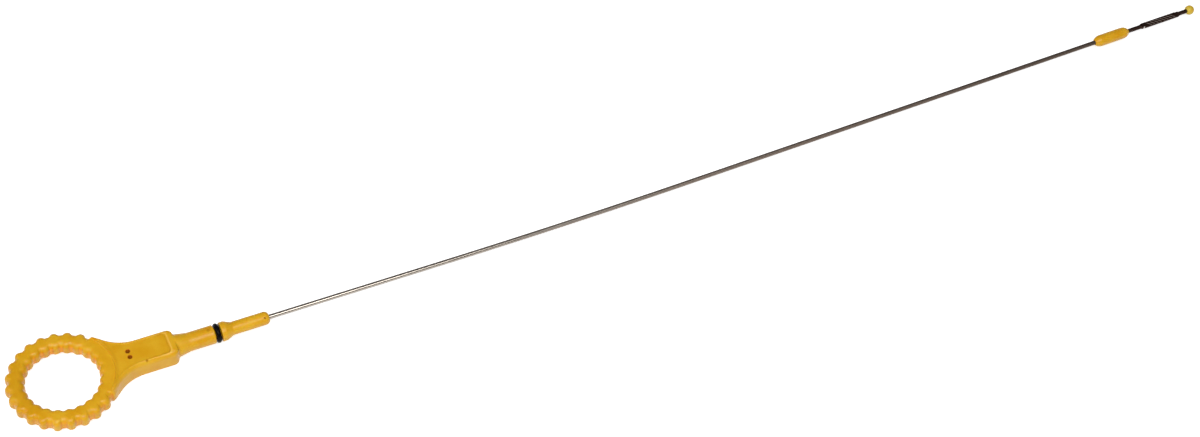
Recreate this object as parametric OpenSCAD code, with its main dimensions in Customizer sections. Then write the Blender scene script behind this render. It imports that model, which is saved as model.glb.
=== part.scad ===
// Engine oil dipstick: a moulded pull handle with its tube seal, on a steel wire with a stamped gauge blade.
// The origin is on the handle's axis, in the middle of the collar that centres it in the tube.
// +X runs along the wire towards the tip and +Z is square to the flat ring.

/* [Finger ring] */
// Diameter over the ribs on the rim
ring_d = 53.9; // [48:0.1:60]
// Diameter of the finger hole between the inner ribs
ring_hole_d = 35; // [30:0.1:38]
// Thickness of the ring
ring_t = 8.3; // [6.5:0.1:10]
// Rounding of the ring's edges
ring_edge_r = 3; // [1.5:0.1:3.2]
// Ribs in a full turn, on the rim and in the hole alike
ring_ribs = 24; // [18:1:28]
// Height of the ribs on the rim
rim_rib_h = 1.8; // [1:0.1:2]
// Width of the ribs on the rim
rim_rib_w = 3.5; // [2.6:0.1:4]
// Height of the ribs in the finger hole
hole_rib_h = 1.1; // [0.6:0.1:1.2]
// Width of the ribs in the finger hole
hole_rib_w = 3; // [2.4:0.1:3.4]

/* [Web and block] */
// Distance from the ring's centre to the block's end face
block_reach = 56; // [50:0.5:70]
// Width of the block
block_w = 15.7; // [13:0.1:20]
// Thickness of the block and web
block_t = 11.8; // [10.5:0.1:14]
// Rounding of the long edges
block_edge_r = 3; // [1.5:0.1:3.2]
// Rounding of the end corners, seen from above
block_corner_r = 3.2; // [2:0.1:4]
// Angle either side of the axis at which the web leaves the ring
web_angle = 48; // [42:1:52]
// Radius of the web's hollow sides
web_flare_r = 20; // [12:0.5:26]

/* [Panel and pin marks] */
// Depth of the sunken panel
panel_depth = 0.6; // [0.3:0.1:1.2]
// Rim beside the panel
panel_side_rim = 1.6; // [1.4:0.1:3]
// Rim between the panel and the block's end face
panel_end_rim = 3.75; // [2:0.05:8]
// Rounding of the panel's corners
panel_corner_r = 2; // [0.5:0.1:3]
// Diameter of the two holes left by the mould's support pins
pin_mark_d = 1.9; // [1.2:0.1:2.4]
// Distance between the centres of the two holes
pin_mark_gap = 3.5; // [2.8:0.1:4.5]
// Distance from the wire's hidden end to the pin holes
pin_mark_in = 2.6; // [1.5:0.1:6]
// Diameter of the smaller pin holes near the nose's end
nose_mark_d = 0.9; // [0.6:0.1:1.4]
// Distance from the nose pin holes to the nose's end
nose_mark_back = 2.7; // [2.4:0.1:6]
// Diameter of the round ejector mark on the shank
ejector_d = 1.5; // [1:0.1:2.5]
// Depth of the ejector mark
ejector_depth = 0.2; // [0.1:0.05:0.5]
// Distance from the ejector mark to the seal groove
ejector_back = 2.6; // [1.5:0.1:6]

/* [Shank and nose] */
// Diameter at the foot of the tapered neck
neck_d = 11.6; // [10.2:0.1:13]
// Length of the tapered neck
neck_len = 6.3; // [3:0.1:10]
// Diameter of the shank
shank_d = 9.4; // [8.8:0.1:10]
// Length of the shank
shank_len = 12.8; // [8:0.1:20]
// Width of the seal groove
groove_w = 3.3; // [2.8:0.1:4.5]
// Diameter of the collar that centres the handle in the tube
collar_d = 9.7; // [9.2:0.1:10]
// Length of the collar
collar_len = 2.4; // [1.5:0.1:5]
// Length of the sloping shoulder before the nose
shoulder_len = 3.4; // [1.5:0.1:6]
// Diameter of the nose
nose_d = 6.7; // [5.6:0.1:8]
// Length of the nose
nose_len = 19.1; // [12:0.1:30]
// Rounding of the nose's end
nose_edge_r = 1.6; // [0.5:0.1:1.6]

/* [Seal] */
// Thickness of the rubber ring
seal_cord_d = 2.4; // [2.1:0.1:2.6]
// Outside diameter of the rubber ring on the handle
seal_d = 9.95; // [9.85:0.05:10.6]

/* [Wire] */
// Diameter of the wire
wire_d = 2.3; // [1.8:0.1:2.6]
// Distance from the block's end face to the wire's hidden end
wire_root = 25.7; // [16:0.1:28]
// Straight length from the nose's end to the bow
bow_start = 89.7; // [40:0.1:150]
// Length of the gentle bow
bow_len = 140; // [60:1:200]
// Angle by which the wire is bowed
bow_angle = 1.9; // [0.5:0.1:4]
// Straight length from the bow to the guide bead
bow_to_bead = 258; // [150:0.5:350]

/* [Bead, gauge blade and tip] */
// Diameter of the guide bead
bead_d = 6.4; // [5.4:0.1:8]
// Length of the guide bead
bead_len = 22.3; // [14:0.1:30]
// Rounding of the bead's ends
bead_end_r = 5.6; // [3:0.1:8]
// Diameter of the bead's end faces
bead_face_d = 3; // [2.9:0.1:5]
// Wire between the bead and the blade
bead_to_blade = 8.5; // [4:0.1:20]
// Length of the flat gauge blade
blade_len = 26.1; // [16:0.1:40]
// Width of the blade
blade_w = 3.4; // [2.8:0.1:5]
// Thickness of the blade
blade_t = 1.3; // [0.8:0.1:1.6]
// Length over which the wire turns into the blade
blade_shoulder = 2; // [1:0.1:4]
// Lines stamped across the blade
hatch_lines = 8; // [4:1:14]
// Width of each line
hatch_w = 0.45; // [0.3:0.05:0.8]
// Depth of each line
hatch_depth = 0.15; // [0.05:0.05:0.25]
// Angle of the lines to the wire
hatch_angle = 50; // [35:1:60]
// Width of the notch at each end of the lines
notch_w = 1.2; // [0.8:0.1:2]
// Depth of the notches
notch_depth = 0.5; // [0.3:0.05:0.8]
// Wire between the blade and the tip ball
blade_to_ball = 6; // [3:0.1:12]
// Diameter of the tip ball
ball_d = 5.4; // [4.6:0.1:7]
// Diameter of the flat on the ball where the wire leaves it
ball_face_d = 3; // [2.8:0.1:4]
// Depth of the wire in the ball
ball_hold = 3.6; // [2:0.1:4]

/* [Hidden] */
$fn = 96;
// Sides of the wire's section, and steps round its bow
wire_fn = 24;
bow_steps = 10;
// Past the part on every side, for tools that cut right through
over = 1;

// Radii of the ring, and the pitch of its ribs
rim_r = ring_d / 2;
rim_root_r = rim_r - rim_rib_h;
hole_r = ring_hole_d / 2;
hole_root_r = hole_r + hole_rib_h;
ring_mid_r = (rim_r + hole_r) / 2;
rib_pitch = 360 / ring_ribs;
// The rounding of a section leaves at least this much of its faces flat
least_flat = 0.2;
// The web begins beside a groove, and the ring is plain between there and its mirror image
foot_angle = floor((web_angle - 1) / rib_pitch + 0.5) * rib_pitch - rib_pitch / 5;

// Places along the axis, from the collar's middle at zero
collar_x = -collar_len / 2;
groove_x = collar_x - groove_w;
shank_x = groove_x - shank_len;
block_x = shank_x - neck_len;
ring_x = block_x - block_reach;
shoulder_x = collar_len / 2;
nose_x = shoulder_x + shoulder_len;
nose_end_x = nose_x + nose_len;
groove_d = seal_d - 2 * seal_cord_d;

// The web's hollow side is an arc that touches the block's side and a line off the ring, which
// passes a little inside the rim
web_setback = 0.75;
web_line_r = rim_r - web_setback;
flare_y = block_w / 2 + web_flare_r;
flare_x = (web_line_r + web_flare_r - sin(web_angle) * flare_y) / cos(web_angle);
flare_turn = 90 - web_angle;
// The web starts just inside the ring's rim, and the neck inside the block, so that all is one solid
web_lap = 1.8;
web_inner_r = rim_r - web_lap;
neck_root = 2;
// How much of the edge rounding the end face and the end corners have
end_share = 0.35;
corner_share = 0.6;
// Steps along the hollow, round a corner and over an edge
flare_steps = 12;
corner_steps = 6;
edge_steps = 5;

// Places along the wire after the bow, measured from the end of the bow
wire_x = block_x - wire_root;
wire_hold = nose_end_x - wire_x;
bow_x = nose_end_x + bow_start;
bow_r = bow_len * 180 / (PI * bow_angle);
// The round wire runs a little way into the blade's shoulders
blade_overlap = blade_shoulder / 4;
bead_at = bow_to_bead;
blade_at = bead_at + bead_len + bead_to_blade;
blade_end_at = blade_at + blade_len;
ball_at = blade_end_at + blade_to_ball;
ball_centre_at = ball_at + sqrt(ball_d * ball_d - ball_face_d * ball_face_d) / 2;
wire_end_at = ball_at + ball_hold;

// Places a child at the end of the bow, pointing along the wire
module after_bow() {
    translate([bow_x + bow_r * sin(bow_angle), bow_r * (1 - cos(bow_angle)), 0])
        rotate([0, 0, bow_angle])
            children();
}

// Turns a shape that stands on Z so that it lies along X
module along_x() {
    rotate([0, 90, 0]) children();
}

// A straight round bar along X
module bar(d, len) {
    along_x() cylinder(d = d, h = len);
}

// A rectangle with round corners, from its lower left corner
module round_rect(size, r) {
    translate([r, 0]) square([size[0] - 2 * r, size[1]]);
    translate([0, r]) square([size[0], size[1] - 2 * r]);
    for (x = [r, size[0] - r], y = [r, size[1] - r])
        translate([x, y]) circle(r = r);
}

// A rib seen from above, from the middle of the ring's section to its round tip
module rib(tip_r, w, way) {
    reach = abs(tip_r - ring_mid_r) - w / 2;
    translate([tip_r - way * w / 2, 0]) circle(d = w);
    translate([ring_mid_r + way * reach / 2, 0]) square([reach, w], center = true);
}

// All the ribs, and the plain rim between the feet of the web
module rib_plan() {
    plain_ribs = floor(web_angle / rib_pitch);
    far = 2 * rim_r;
    foot = [far * cos(foot_angle), far * sin(foot_angle)];
    difference() {
        polygon([[0, 0], foot, [foot[0], -foot[1]]]);
        circle(r = ring_mid_r);
    }
    for (i = [plain_ribs : ring_ribs - 1 - plain_ribs])
        rotate((i + 0.5) * rib_pitch) rib(rim_r, rim_rib_w, 1);
    for (i = [0 : ring_ribs - 1])
        rotate((i + 0.5) * rib_pitch) rib(hole_r, hole_rib_w, -1);
}

// A turned ring with round edges
module round_ring(inner, outer) {
    r = min(ring_edge_r, (outer - inner - least_flat) / 2);
    rotate_extrude()
        translate([inner, -ring_t / 2]) round_rect([outer - inner, ring_t], r);
}

// The ring as it is in its grooves, with the ribs laid over its round edges
module ring() {
    round_ring(hole_root_r, rim_root_r);
    intersection() {
        round_ring(hole_r, rim_r);
        translate([0, 0, -ring_t / 2 - over])
            linear_extrude(ring_t + 2 * over) rib_plan();
    }
}

// One side of the web seen from above, moved in by u along its side and by v at its end:
// off the ring, round the hollow and round the end corner
function flare_arc(u) = [
    for (i = [0 : flare_steps])
        let (a = 180 + web_angle + i * flare_turn / flare_steps)
        [flare_x + (web_flare_r + u) * cos(a), flare_y + (web_flare_r + u) * sin(a)]
];

function corner_arc(u, v, r) = [
    for (i = [0 : corner_steps])
        let (a = 90 - i * 90 / corner_steps)
        [
            block_reach - v - r * (1 - cos(a)),
            block_w / 2 - u - r * (1 - sin(a))
        ]
];

function web_side(u, v, r) = concat(
    [(web_line_r - u) / cos(web_angle - foot_angle) * [cos(foot_angle), sin(foot_angle)]],
    flare_arc(u),
    corner_arc(u, v, r)
);

function flipped(points) = [
    for (i = [len(points) - 1 : -1 : 0]) [points[i][0], -points[i][1]]
];

// The closed outline, from a list that runs down one side only
function both_sides(side) = concat(side, flipped(side));

function web_loop(u, z) =
    let (side = web_side(u, end_share * u, block_corner_r - corner_share * u))
    [for (p = both_sides(side)) [p[0], p[1], z]];

// Levels of the rounded edge: how far in each is, and how high
function edge_in(a) = block_edge_r * (1 - cos(a));
function edge_up(a) = block_t / 2 - block_edge_r * (1 - sin(a));
edge_levels = concat(
    [for (i = [edge_steps : -1 : 0]) let (a = i * 90 / edge_steps) [edge_in(a), -edge_up(a)]],
    [for (i = [0 : edge_steps]) let (a = i * 90 / edge_steps) [edge_in(a), edge_up(a)]]
);

// A closed solid through loops of an even number of points, one above or behind another.
// Each end is closed by strips across the loop, between a point and its opposite.
module loft(loops) {
    n = len(loops[0]);
    last = len(loops) - 1;
    points = [for (loop = loops, p = loop) p];
    walls = [
        for (k = [0 : last - 1], i = [0 : n - 1])
            let (j = (i + 1) % n)
            each [
                [k * n + i, k * n + j, (k + 1) * n + j],
                [k * n + i, (k + 1) * n + j, (k + 1) * n + i]
            ]
    ];
    half = n / 2;
    caps = [
        for (i = [0 : half - 2])
            each [
                [n - 1 - i, n - 2 - i, i + 1, i],
                [for (j = [i, i + 1, n - 2 - i, n - 1 - i]) last * n + j]
            ]
    ];
    polyhedron(points = points, faces = concat(walls, caps));
}

// The thick web and block with their sunken panel, cut off round where the ring meets them
module web() {
    difference() {
        loft([for (level = edge_levels) web_loop(level[0], level[1])]);
        cylinder(r = web_inner_r, h = block_t + 2 * over, center = true);
        translate([0, 0, block_t / 2 - panel_depth])
            linear_extrude(panel_depth + over)
                polygon(both_sides(web_side(panel_side_rim, panel_end_rim, panel_corner_r)));
    }
}

// Neck, shank, seal groove, collar and shoulder, as half a section: distance from the axis, place on it
stem_section = [
    [0, block_x - neck_root],
    [neck_d / 2, block_x - neck_root],
    [neck_d / 2, block_x],
    [shank_d / 2, shank_x],
    [shank_d / 2, groove_x],
    [groove_d / 2, groove_x],
    [groove_d / 2, collar_x],
    [collar_d / 2, collar_x],
    [collar_d / 2, shoulder_x],
    [nose_d / 2, nose_x],
    [0, nose_x]
];

// Everything between the block and the wire, turned about the axis
module stem() {
    along_x() rotate_extrude() {
        polygon(stem_section);
        translate([0, shoulder_x])
            domed_section(nose_d, shoulder_len + nose_len, nose_edge_r, 0, false);
    }
}

// Half the section of a round bar that stands on its end, domed with radius r at the far end and,
// where both is true, at the near end too. The dome stops at a flat face of diameter face_d.
module domed_section(d, len, r, face_d, both) {
    hub = d / 2 - r;
    flat = max(0, face_d / 2 - hub);
    dome = sqrt(r * r - flat * flat);
    near = both ? dome : 0;
    square([max(hub, face_d / 2), len]);
    translate([0, near]) square([d / 2, len - near - dome]);
    intersection() {
        square([d / 2, len]);
        union() {
            translate([hub, len - dome]) circle(r = r);
            if (both)
                translate([hub, dome]) circle(r = r);
        }
    }
}

// Blind holes left by the pins that held the wire straight in the mould
module pin_marks(x, d, top) {
    for (side = [-1, 1])
        translate([x, side * pin_mark_gap / 2, 0])
            cylinder(d = d, h = top);
}

// The round mark of an ejector on top of the shank
module ejector_mark() {
    translate([groove_x - ejector_back, 0, shank_d / 2 - ejector_depth])
        cylinder(d = ejector_d, h = ejector_depth + over);
}

module handle() {
    color("#e8b02c")
        difference() {
            union() {
                translate([ring_x, 0, 0]) ring();
                translate([ring_x, 0, 0]) web();
                stem();
            }
            translate([wire_x, 0, 0]) bar(wire_d, wire_hold + over);
            pin_marks(wire_x + pin_mark_in, pin_mark_d, block_t);
            pin_marks(nose_end_x - nose_mark_back, nose_mark_d, nose_d);
            ejector_mark();
        }
}

module seal_ring() {
    color("#1c1c1e")
        translate([groove_x + groove_w / 2, 0, 0])
            along_x() rotate_extrude()
                translate([(seal_d - seal_cord_d) / 2, 0]) circle(d = seal_cord_d);
}

// Where the wire's centre is and which way it points, a length s along it from the nose's end
function wire_turn(s) = bow_angle * max(0, min(1, (s - bow_start) / bow_len));
function wire_point(s) =
    let (a = wire_turn(s), before = min(s, bow_start), after = max(0, s - bow_start - bow_len))
    [
        nose_end_x + before + bow_r * sin(a) + after * cos(bow_angle),
        bow_r * (1 - cos(a)) + after * sin(bow_angle)
    ];

// A round section of the wire at s
function wire_loop(s) =
    let (p = wire_point(s), turn = wire_turn(s))
    [
        for (i = [0 : wire_fn - 1])
            let (a = -i * 360 / wire_fn, side = wire_d / 2 * cos(a))
            [p[0] - side * sin(turn), p[1] + side * cos(turn), wire_d / 2 * sin(a)]
    ];

// The wire between two places along it, with a section at each and all round the bow
module run(from, to) {
    stations = concat(
        [from],
        [for (i = [0 : bow_steps])
            let (s = bow_start + i * bow_len / bow_steps)
            if (s > from + 1 && s < to - 1) s],
        [to]
    );
    loft([for (s = stations) wire_loop(s)]);
}

// The flat blade, seen from above: shoulders at both ends and two notches
module blade_plan() {
    difference() {
        polygon([
            [0, -wire_d / 2],
            [blade_shoulder, -blade_w / 2],
            [blade_len - blade_shoulder, -blade_w / 2],
            [blade_len, -wire_d / 2],
            [blade_len, wire_d / 2],
            [blade_len - blade_shoulder, blade_w / 2],
            [blade_shoulder, blade_w / 2],
            [0, wire_d / 2]
        ]);
        translate([blade_shoulder + notch_w, -blade_w / 2])
            circle(d = 2 * notch_depth);
        translate([blade_len - blade_shoulder - notch_w, blade_w / 2])
            circle(d = 2 * notch_depth);
    }
}

// The blade with its stamped lines, starting at zero
module blade() {
    span = blade_len - 2 * blade_shoulder - 4 * notch_w;
    difference() {
        translate([0, 0, -blade_t / 2])
            linear_extrude(blade_t) blade_plan();
        for (i = [1 : hatch_lines])
            translate([blade_shoulder + 2 * notch_w + (i - 0.5) * span / hatch_lines, 0, blade_t / 2])
                rotate([0, 0, -hatch_angle])
                    cube([blade_w + over, hatch_w, 2 * hatch_depth], center = true);
    }
}

module wire() {
    blade_s = bow_start + bow_len + blade_at;
    color("#8d857c") {
        run(-wire_hold, blade_s + blade_overlap);
        run(blade_s + blade_len - blade_overlap, bow_start + bow_len + wire_end_at);
        after_bow()
            translate([blade_at, 0, 0]) blade();
    }
}

module guide_bead() {
    color("#e3ae2a")
        after_bow() translate([bead_at, 0, 0])
            difference() {
                along_x() rotate_extrude()
                    domed_section(bead_d, bead_len, bead_end_r, bead_face_d, true);
                translate([-over, 0, 0]) bar(wire_d, bead_len + 2 * over);
            }
}

module tip_ball() {
    color("#e6bb33")
        after_bow()
            difference() {
                translate([ball_centre_at, 0, 0]) sphere(d = ball_d);
                translate([ball_at - ball_d, 0, 0]) bar(ball_d, ball_d);
                translate([ball_at - over, 0, 0]) bar(wire_d, ball_hold + over);
            }
}

handle();
seal_ring();
wire();
guide_bead();
tip_ball();
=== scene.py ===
"""An engine oil dipstick: its moulded handle, rubber seal, drawn wire, guide bead and tip ball.

Every length is in millimetres in the part's own frame and is turned to metres when a mesh is made,
except in the studio and where a name ends in _m. The origin is on the handle's axis in the middle
of the collar, +X runs along the wire to the tip, +Z is up.
"""

import logging
import math
from dataclasses import dataclass, field
from enum import Enum
from typing import Any, Callable

import bmesh
import bpy
import numpy as np
from mathutils import Matrix


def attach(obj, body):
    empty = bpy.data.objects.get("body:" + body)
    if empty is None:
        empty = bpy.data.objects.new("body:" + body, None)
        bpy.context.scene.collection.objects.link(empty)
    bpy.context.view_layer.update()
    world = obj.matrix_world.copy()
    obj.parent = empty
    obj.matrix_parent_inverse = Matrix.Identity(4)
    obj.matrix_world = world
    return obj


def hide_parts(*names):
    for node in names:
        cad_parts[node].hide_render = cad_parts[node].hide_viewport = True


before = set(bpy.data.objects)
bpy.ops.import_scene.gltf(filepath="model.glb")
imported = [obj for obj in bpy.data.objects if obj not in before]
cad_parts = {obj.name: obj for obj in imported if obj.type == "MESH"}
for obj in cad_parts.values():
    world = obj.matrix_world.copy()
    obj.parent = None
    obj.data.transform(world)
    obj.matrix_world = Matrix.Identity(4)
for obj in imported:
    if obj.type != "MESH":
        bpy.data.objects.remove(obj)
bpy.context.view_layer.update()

LOG = logging.getLogger("dipstick")
MM = 0.001
TURN = 2.0 * math.pi
AXIS_GAP = 0.01  # a turned outline starts and ends this far from its axis
BASE, OTHER = 6, 7  # numbers of the two colour inputs of a Mix node
Array = np.ndarray
Tree = bpy.types.NodeTree
Socket = bpy.types.NodeSocket
Pair = tuple[float, float]
Triple = tuple[float, float, float]


# ---------------------------------------------------------------- colours and nodes


def linear(code: str) -> tuple[float, float, float, float]:
    """Turns an sRGB hex colour to the linear colour that a shader takes.

    The standard's curve is a straight foot below 0.04045 and a power of 2.4 above it.

    Args:
        code: the colour as six hex digits.

    Returns:
        Red, green, blue and alpha, each from 0 to 1.
    """
    parts = [int(code[i:i + 2], 16) / 255.0 for i in (0, 2, 4)]
    red, green, blue = (
        p / 12.92 if p <= 0.04045 else ((p + 0.055) / 1.055) ** 2.4 for p in parts
    )
    return (red, green, blue, 1.0)


def add(tree: Tree, kind: str, values: dict[Any, Any] | None = None,
        links: dict[Any, Socket] | None = None) -> bpy.types.Node:
    """Adds one node with its settings and links.

    Args:
        tree: the node tree.
        kind: the node's type name.
        values: settings of the node, or values of its inputs by name or number.
        links: the output that each input is linked to, by the input's name or number.

    Returns:
        The new node.
    """
    node = tree.nodes.new(kind)
    for key, value in (values or {}).items():
        if isinstance(key, str) and hasattr(node, key):
            setattr(node, key, value)
        else:
            node.inputs[key].default_value = value
    for key, socket in (links or {}).items():
        tree.links.new(socket, node.inputs[key])
    return node


def empty_material(name: str) -> tuple[bpy.types.Material, Tree]:
    """Makes a material with an empty node tree.

    Args:
        name: name of the material.

    Returns:
        The material and its node tree.
    """
    material = bpy.data.materials.new(name)
    material.use_nodes = True
    material.node_tree.nodes.clear()
    return material, material.node_tree


def object_place(tree: Tree) -> Socket:
    """Adds the place of each point in its object's own coordinates, in metres."""
    return add(tree, "ShaderNodeTexCoord").outputs["Object"]


def along_x(tree: Tree, place: Socket) -> Socket:
    """Adds the X of a place."""
    return add(tree, "ShaderNodeSeparateXYZ", links={"Vector": place}).outputs["X"]


def stored(tree: Tree, name: str) -> Socket:
    """Adds a number that the mesh stores at its points, which is 0 where it stores none."""
    return add(tree, "ShaderNodeAttribute", {"attribute_name": name}).outputs["Fac"]


def noise(tree: Tree, place: Socket, size_mm: float, detail: float, rough: float = 0.5) -> Socket:
    """Adds cloudy noise.

    Args:
        tree: the node tree.
        place: where it is read.
        size_mm: size of its largest clouds.
        detail: number of finer layers over them.
        rough: strength of each layer against the one before.

    Returns:
        Its value, which is mostly between 0.3 and 0.7.
    """
    return add(tree, "ShaderNodeTexNoise",
               {"Scale": 1.0 / (size_mm * MM), "Detail": detail, "Roughness": rough},
               {"Vector": place}).outputs["Fac"]


def ramp(tree: Tree, value: Socket, span: Pair = (0.0, 1.0), result: Pair = (0.0, 1.0)) -> Socket:
    """Adds a straight ramp, level beyond its two ends.

    Args:
        tree: the node tree.
        value: what the ramp is read at.
        span: values at which it starts and ends.
        result: its heights there.

    Returns:
        The ramp's height.
    """
    return add(tree, "ShaderNodeMapRange",
               {"From Min": span[0], "From Max": span[1],
                "To Min": result[0], "To Max": result[1]},
               {"Value": value}).outputs["Result"]


class Blend(Enum):
    """How one colour is laid over another."""

    MIX = "MIX"
    MULTIPLY = "MULTIPLY"


def mix(tree: Tree, share: Socket | float, base: Socket | str, other: Socket | str,
        blend: Blend = Blend.MIX) -> Socket:
    """Adds a mix of two colours, each given as sRGB hex or as a socket.

    Args:
        tree: the node tree.
        share: how much of the other colour is laid over the base, from 0 to 1.
        base: the colour underneath.
        other: the colour laid over it.
        blend: how it is laid over.

    Returns:
        The mixed colour.
    """
    values: dict[Any, Any] = {"data_type": "RGBA", "blend_type": blend.value}
    links: dict[Any, Socket] = {}
    for key, part in ((0, share), (BASE, base), (OTHER, other)):
        if isinstance(part, str):
            values[key] = linear(part)
        elif isinstance(part, float):
            values[key] = part
        else:
            links[key] = part
    return add(tree, "ShaderNodeMix", values, links).outputs[2]


def scaled(tree: Tree, value: Socket, factor: float, plus: Socket | float) -> Socket:
    """Adds a value times a factor, plus a number or another value.

    Args:
        tree: the node tree.
        value: the value.
        factor: what it is multiplied by.
        plus: what is added after that.

    Returns:
        The sum.
    """
    node = add(tree, "ShaderNodeMath", {"operation": "MULTIPLY_ADD", 1: factor}, {0: value})
    if isinstance(plus, float):
        node.inputs[2].default_value = plus
    else:
        tree.links.new(plus, node.inputs[2])
    return node.outputs[0]


def bumped(tree: Tree, height: Socket, strength: float, depth_mm: float) -> Socket:
    """Adds a relief of a given depth, and returns the normal that it gives."""
    return add(tree, "ShaderNodeBump", {"Strength": strength, "Distance": depth_mm * MM},
               {"Height": height}).outputs["Normal"]


def surface(tree: Tree, values: dict[Any, Any], links: dict[Any, Socket]) -> None:
    """Adds the shader with its values and links, and puts it on the surface."""
    shader = add(tree, "ShaderNodeBsdfPrincipled", values, links)
    add(tree, "ShaderNodeOutputMaterial", links={"Surface": shader.outputs["BSDF"]})


# ---------------------------------------------------------------- surfaces as arrays


def smooth_min(a: Array, b: Array, soft: float) -> Array:
    """The lesser of two arrays, with the change between them rounded over a width soft."""
    share = np.clip(0.5 + 0.5 * (b - a) / soft, 0.0, 1.0)
    return b * (1.0 - share) + a * share - soft * share * (1.0 - share)


def smooth_step(t: Array) -> Array:
    """Rises from 0 to 1 with level ends: three t squared less two t cubed."""
    t = np.clip(t, 0.0, 1.0)
    return t * t * (3.0 - 2.0 * t)


def wall_faces(rows: int, cols: int, first: int = 0) -> Array:
    """Quads between neighbouring rows of a grid whose columns run round and close.

    Args:
        rows: number of rows, each one closed loop.
        cols: number of points in a loop.
        first: number of the grid's first point.

    Returns:
        An array of quads, four point numbers each.
    """
    row, col = np.meshgrid(np.arange(rows - 1), np.arange(cols), indexing="ij")
    after = (col + 1) % cols
    quads = np.stack([row * cols + col, row * cols + after,
                      (row + 1) * cols + after, (row + 1) * cols + col], axis=-1)
    return quads.reshape(-1, 4) + first


def strip_faces(cols: int, first: int, flip: bool) -> Array:
    """Quads across one loop, between each point and its opposite, which close an open end.

    Args:
        cols: number of points in the loop.
        first: number of its first point.
        flip: whether the quads are turned to face the other way.

    Returns:
        An array of quads, four point numbers each.
    """
    near = np.arange(cols // 2 - 1)
    quads = np.stack([near, near + 1, cols - 2 - near, cols - 1 - near], axis=-1) + first
    return quads[:, ::-1] if flip else quads


def placed(name: str, data: bpy.types.ID) -> bpy.types.Object:
    """Makes an object of a mesh, lamp or camera, at the origin of the scene.

    Args:
        name: name of the object.
        data: what it shows.

    Returns:
        The object.
    """
    obj = bpy.data.objects.new(name, data)
    bpy.context.scene.collection.objects.link(obj)
    return obj


def aim(obj: bpy.types.Object, at: Triple, axes: tuple[Any, Any, Any]) -> None:
    """Places a lamp or camera, in metres, and turns it by its side, up and back axes."""
    obj.matrix_world = Matrix.Translation(at) @ Matrix(axes).transposed().to_4x4()


def mesh_object(name: str, points: Array, faces: Array | list) -> bpy.types.Object:
    """Makes an object at the origin from points in millimetres.

    Args:
        name: name of the object and its mesh.
        points: an array of points, three numbers each.
        faces: the faces, as point numbers.

    Returns:
        The object, smooth shaded, linked into the scene.
    """
    mesh = bpy.data.meshes.new(name)
    mesh.from_pydata((points.reshape(-1, 3) * MM).tolist(), [], np.asarray(faces).tolist())
    mesh.validate()
    mesh.shade_smooth()
    return placed(name, mesh)


def lofted(name: str, loops: Array) -> bpy.types.Object:
    """A closed skin over loops that follow one another, its two ends closed by strips.

    Args:
        name: name of the object.
        loops: an array of loops by points by three.

    Returns:
        The object.
    """
    rows, cols = loops.shape[:2]
    faces = np.concatenate([
        wall_faces(rows, cols),
        strip_faces(cols, 0, True),
        strip_faces(cols, (rows - 1) * cols, False),
    ])
    return mesh_object(name, loops, faces)


def turned(name: str, outline: Array, around: int,
           place: Callable[[Array], Array] | None = None) -> bpy.types.Object:
    """Turns an outline about the X axis.

    Args:
        name: name of the object.
        outline: distances along the axis and from it, from one end to the other.
        around: number of points round the axis.
        place: moves the finished points, such as on to the bowed wire.

    Returns:
        The object, whose ends are closed where the outline starts and ends.
    """
    angle = np.linspace(0.0, TURN, around, endpoint=False)
    along, radius = outline[:, 0, None], outline[:, 1, None]
    loops = np.stack([along * np.ones_like(angle), radius * np.cos(angle),
                      radius * np.sin(angle)], axis=-1)
    if place is not None:
        loops = place(loops)
    return lofted(name, loops)


def finished_mesh(obj: bpy.types.Object) -> None:
    """Replaces an object's mesh by the one its modifiers make, and removes the modifiers.

    Args:
        obj: the object.
    """
    graph = bpy.context.evaluated_depsgraph_get()
    graph.update()
    mesh = bpy.data.meshes.new_from_object(obj.evaluated_get(graph))
    obj.modifiers.clear()
    old = obj.data
    obj.data = mesh
    mesh.name = obj.name
    bpy.data.meshes.remove(old)


def cut(obj: bpy.types.Object, tools: list[bpy.types.Object]) -> None:
    """Takes each tool's volume away from an object, and removes the tools.

    Args:
        obj: the object, a closed skin.
        tools: the tools, closed skins too.
    """
    for tool in tools:
        step = obj.modifiers.new("cut", "BOOLEAN")
        step.operation = "DIFFERENCE"
        step.solver = "MANIFOLD"
        step.object = tool
    finished_mesh(obj)
    for tool in tools:
        bpy.data.objects.remove(tool)


def joined(name: str, parts: list[bpy.types.Object]) -> bpy.types.Object:
    """Puts the meshes of several objects into one object, and removes them.

    Args:
        name: name of the new object and its mesh.
        parts: the objects.

    Returns:
        The new object.
    """
    together = bmesh.new()
    for part in parts:
        together.from_mesh(part.data)
        bpy.data.objects.remove(part)
    mesh = bpy.data.meshes.new(name)
    together.to_mesh(mesh)
    together.free()
    return placed(name, mesh)


def points_of(mesh: bpy.types.Mesh) -> Array:
    """Reads the points of a mesh.

    Args:
        mesh: the mesh.

    Returns:
        An array of points in millimetres, three numbers each.
    """
    flat = np.empty(len(mesh.vertices) * 3)
    mesh.vertices.foreach_get("co", flat)
    return flat.reshape(-1, 3) / MM


def store(mesh: bpy.types.Mesh, name: str, values: Array) -> None:
    """Stores one number at each point of a mesh, for its material to read."""
    mesh.attributes.new(name, "FLOAT", "POINT").data.foreach_set("value", values)


def sharpen(obj: bpy.types.Object, degrees: float) -> None:
    """Keeps the edges sharp at which a piece turns by more than an angle."""
    obj.data.set_sharp_from_angle(angle=math.radians(degrees))


# ---------------------------------------------------------------- finishes


class Tint(Enum):
    """Colours of the two mouldings, as sRGB hex."""

    HANDLE = "D59C0A"
    TIP = "CAA324"


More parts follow.
